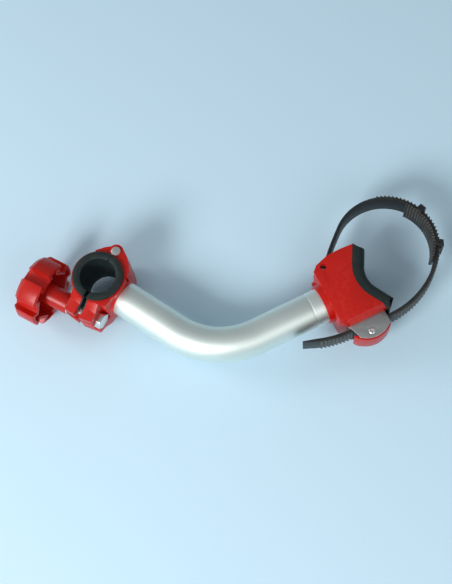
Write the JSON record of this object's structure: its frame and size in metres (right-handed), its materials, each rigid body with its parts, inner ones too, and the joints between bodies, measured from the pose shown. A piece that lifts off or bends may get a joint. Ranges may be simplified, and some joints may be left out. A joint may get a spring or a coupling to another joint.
{
  "type": "bicycle carrier holding arm",
  "caption": "Bent aluminium holding arm for a bicycle carrier, with a hinged tube clamp and lobed knob at one end and a padded saddle with a ratchet strap at the other.",
  "frame": {"origin": "centre of the clamp's bore, midway along it", "axes": "+Z along the clamp's bore, out of the face with the hinge pin's head; +X along the arm's length, from the clamp to the saddle; the arm lies in the XY plane, its two legs sloping 30 degrees to either side of X"},
  "size_m": [0.3598, 0.1524, 0.0576],
  "materials": {
    "red_plastic": "glossy orange-red moulded nylon",
    "red_knob": "glossy red moulded nylon",
    "liner_rubber": "matt black-green rubber",
    "pad_rubber": "matt black-green rubber",
    "strap_plastic": "satin black polyurethane",
    "sleeve_rubber": "ribbed black rubber",
    "tube_aluminium": "satin anodised",
    "zinc_steel": "bright zinc plated",
    "stainless": "brushed stainless with polished edges",
    "spring_steel": "drawn wire",
    "brass": "turned"
  },
  "bodies": {
    "arm": {"clamp_body": "red_plastic", "liner_fixed": "liner_rubber", "hinge_pin": "zinc_steel", "hinge_clip": "zinc_steel", "clamp_bolt": "zinc_steel", "arm_tube": "tube_aluminium", "tube_rivets": "zinc_steel", "head_body": "red_plastic", "saddle_pad": "pad_rubber", "strap_pin": "zinc_steel", "ratchet_strap": "strap_plastic", "buckle_frame": "stainless", "buckle_rivets": "zinc_steel", "lever_pin": "zinc_steel"},
    "jaw": {"clamp_jaw": "red_plastic", "liner_jaw": "liner_rubber"},
    "washer": {"thrust_washer": "zinc_steel"},
    "knob": {"knob": "red_knob", "knob_insert": "brass"},
    "sleeve": {"strap_sleeve": "sleeve_rubber"},
    "lever": {"release_lever": "red_knob", "lever_pawl": "stainless", "lever_spring": "spring_steel"}
  },
  "joints": [
    {"name": "jaw_hinge", "type": "hinge", "parent": "arm", "child": "jaw", "pos_m": [0.01263, 0.02308, 0], "axis": [0, 0, -1], "range_deg": [0, 20.62]},
    {"name": "washer_travel", "type": "slide", "parent": "arm", "child": "washer", "axis": [-0.9135, 0.4067, 0], "range_m": [0, 0.02375]},
    {"name": "knob_turn", "type": "hinge", "parent": "washer", "child": "knob", "pos_m": [-0.0142, -0.02459, 0], "axis": [-0.9135, 0.4067, 0], "range_deg": [0, 6840]},
    {"name": "sleeve_slide", "type": "hinge", "parent": "arm", "child": "sleeve", "pos_m": [0.23938, 0.04465, 0], "axis": [0, 0, 1], "range_deg": [-4, 60]},
    {"name": "lever_rock", "type": "hinge", "parent": "arm", "child": "lever", "pos_m": [0.22993, -0.03205, 0], "axis": [0, 0, 1], "range_deg": [0, 12]}
  ],
  "couplings": [
    {"joint": "washer_travel", "follows": "knob_turn", "m_per_rad": 0.00019894},
    {"joint": "jaw_hinge", "follows": "knob_turn", "ratio": 0.0030143}
  ]
}
